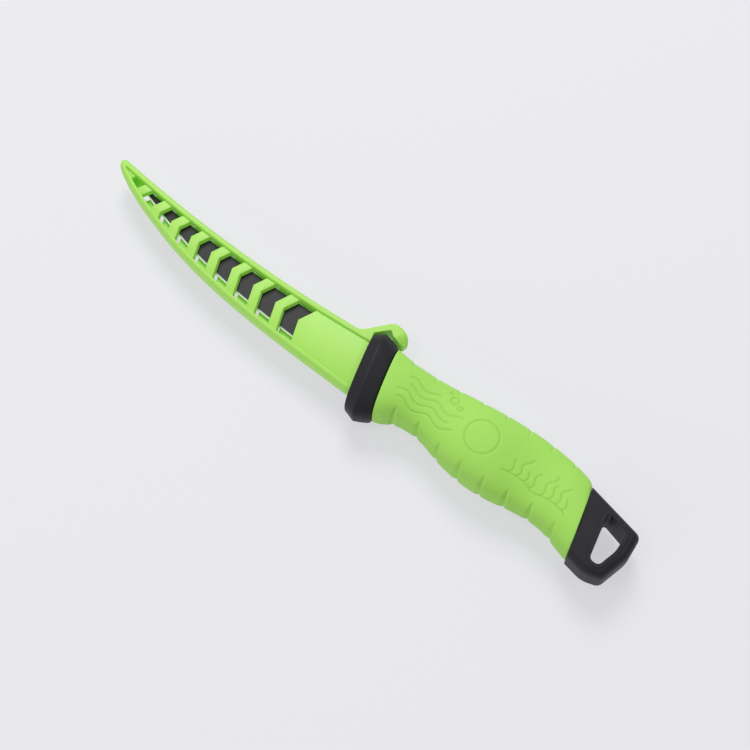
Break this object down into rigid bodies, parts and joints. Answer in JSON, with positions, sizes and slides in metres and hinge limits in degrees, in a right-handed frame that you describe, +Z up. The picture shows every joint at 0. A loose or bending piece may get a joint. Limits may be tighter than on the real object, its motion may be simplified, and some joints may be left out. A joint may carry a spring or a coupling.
{
  "type": "fishing knife in its sheath",
  "caption": "Fixed-blade fishing knife with a guard, fluted soft grip and lanyard pommel, in a one-piece chevron-lattice sheath that a sprung latch holds over the guard.",
  "frame": {"origin": "middle of the underside of the sheathed knife lying on its side", "axes": "+X from the sheath's nose towards the pommel, +Y from the cutting edge towards the spine, +Z up out of the knife's flat side"},
  "size_m": [0.2906, 0.0442, 0.026],
  "materials": {
    "coated_steel": "matt dark non-stick coating with a bright ground edge bevel",
    "black_polypropylene": "fine moulded texture",
    "soft_grip": "matt soft over-moulding",
    "sheath_plastic": "satin moulded"
  },
  "bodies": {
    "knife": {"blade": "coated_steel", "handle_core": "black_polypropylene", "grip": "soft_grip"},
    "sheath": {"sheath_body": "sheath_plastic"},
    "latch": {"sheath_latch": "sheath_plastic"}
  },
  "joints": [
    {"name": "sheath_draw", "type": "slide", "parent": "knife", "child": "sheath", "axis": [-0.999, 0.0454, 0], "range_m": [0, 0.14]},
    {"name": "latch_flex", "type": "hinge", "parent": "sheath", "child": "latch", "pos_m": [-0.00329, 0.01393, 0.01298], "axis": [0, 0, 1], "range_deg": [0, 12], "stiffness_Nm_per_rad": 0.1}
  ]
}
